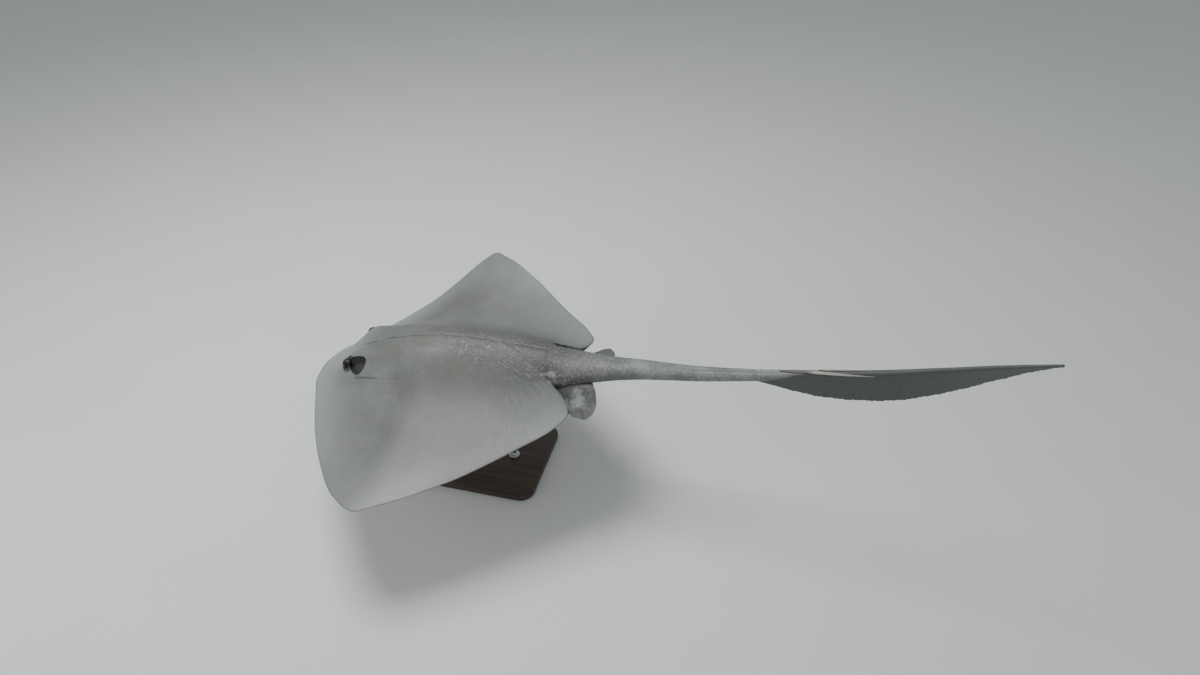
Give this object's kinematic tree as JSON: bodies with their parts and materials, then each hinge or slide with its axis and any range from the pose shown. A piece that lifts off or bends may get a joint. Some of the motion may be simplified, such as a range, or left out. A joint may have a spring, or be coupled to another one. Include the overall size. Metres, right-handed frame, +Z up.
{
  "type": "cowtail stingray display model",
  "caption": "Life-size cowtail stingray in mid wing beat, with eyes, spiracles, tail fold, two stings and pelvic fins, held by a flat base with two short rods",
  "frame": {"origin": "on the underside of the stand's base, straight below the middle of the disc", "axes": "-X is the way the snout points, +X runs along the tail, +Y is the ray's right wing, +Z is up"},
  "size_m": [2.012, 1.0931, 0.6561],
  "materials": {
    "skin": "smooth, slightly moist grey skin with a rough darker band of denticles down the back, a near-black tail fold and a white belly",
    "eye": "dark glossy eyeball with a narrow pupil",
    "sting": "pale dentine, lightly grooved",
    "stand_base": "dark satin wood",
    "stand_rod": "brushed"
  },
  "bodies": {
    "root": {"head": "skin", "trunk": "skin", "wing_left": "skin", "wing_right": "skin", "pelvic_fin_left": "skin", "pelvic_fin_right": "skin", "tail_root": "skin", "tail_middle": "skin", "tail_end": "skin", "tail_fold": "skin", "eye_left": "eye", "eye_right": "eye", "sting_long": "sting", "sting_short": "sting", "stand_base": "stand_base", "stand_rod_front": "stand_rod", "stand_rod_rear": "stand_rod"}
  },
  "joints": []
}
